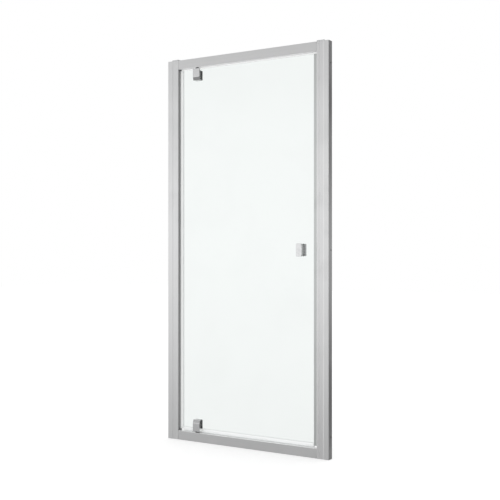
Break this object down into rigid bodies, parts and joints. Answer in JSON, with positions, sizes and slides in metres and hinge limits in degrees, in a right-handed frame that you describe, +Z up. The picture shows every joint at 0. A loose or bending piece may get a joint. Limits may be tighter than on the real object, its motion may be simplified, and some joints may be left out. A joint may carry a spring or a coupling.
{
  "type": "pivot shower door",
  "caption": "Framed pivot shower door: a clear glass pane turning on top and bottom pivots in an aluminium frame that fits between two walls.",
  "frame": {"origin": "middle of the bottom rail's underside, half way through the frame's depth", "axes": "+X along the opening from the hinge side to the strike side, +Y from the outside into the shower, +Z up"},
  "size_m": [0.9, 0.051, 1.905],
  "materials": {
    "frame_profile": "bright anodised",
    "edge_profile": "bright anodised",
    "cap_plastic": "silver grey, semi-gloss",
    "screw_steel": "stainless",
    "magnet_strip": "flexible magnet in pale sleeve",
    "bush_plastic": "moulded black",
    "anchor_metal": "mill finish",
    "clear_glass": "clear toughened glass",
    "clear_seal": "clear soft plastic",
    "chrome_fittings": "polished chrome",
    "gasket": "dark soft pad",
    "sleeve_plastic": "translucent nylon"
  },
  "bodies": {
    "frame": {"wall_channel_hinge": "frame_profile", "wall_channel_strike": "frame_profile", "hinge_post": "frame_profile", "strike_post": "frame_profile", "post_cap_hinge": "cap_plastic", "post_cap_strike": "cap_plastic", "bottom_rail": "frame_profile", "head_rail": "frame_profile", "corner_screws": "screw_steel", "post_fixing_screws": "screw_steel", "screw_covers": "cap_plastic", "strike_magnet_strip": "magnet_strip", "pivot_bush_bottom": "bush_plastic", "pivot_bush_top": "bush_plastic", "pivot_anchor_bottom": "anchor_metal", "pivot_anchor_top": "anchor_metal"},
    "door": {"door_glass": "clear_glass", "hinge_edge_seal": "clear_seal", "closing_edge_profile": "edge_profile", "door_magnet_strip": "magnet_strip", "drip_seal": "clear_seal", "pivot_block_bottom": "chrome_fittings", "pivot_block_top": "chrome_fittings", "clamp_plate_bottom": "chrome_fittings", "clamp_plate_top": "chrome_fittings", "clamp_gasket_bottom_outer": "gasket", "clamp_gasket_bottom_inner": "gasket", "clamp_gasket_top_outer": "gasket", "clamp_gasket_top_inner": "gasket", "pivot_pin_bottom": "screw_steel", "pivot_pin_top": "screw_steel", "pivot_grub_screws": "screw_steel", "clamp_screws": "screw_steel", "clamp_sleeves": "sleeve_plastic", "handle_outer": "chrome_fittings", "handle_inner": "chrome_fittings", "handle_gasket_outer": "gasket", "handle_gasket_inner": "gasket", "handle_stud": "screw_steel", "handle_sleeve": "sleeve_plastic", "handle_grub_screw": "screw_steel"}
  },
  "joints": [
    {"name": "door_pivot", "type": "hinge", "parent": "frame", "child": "door", "pos_m": [-0.281, -0.0045, 0], "axis": [0, 0, -1], "range_deg": [0, 90]}
  ]
}
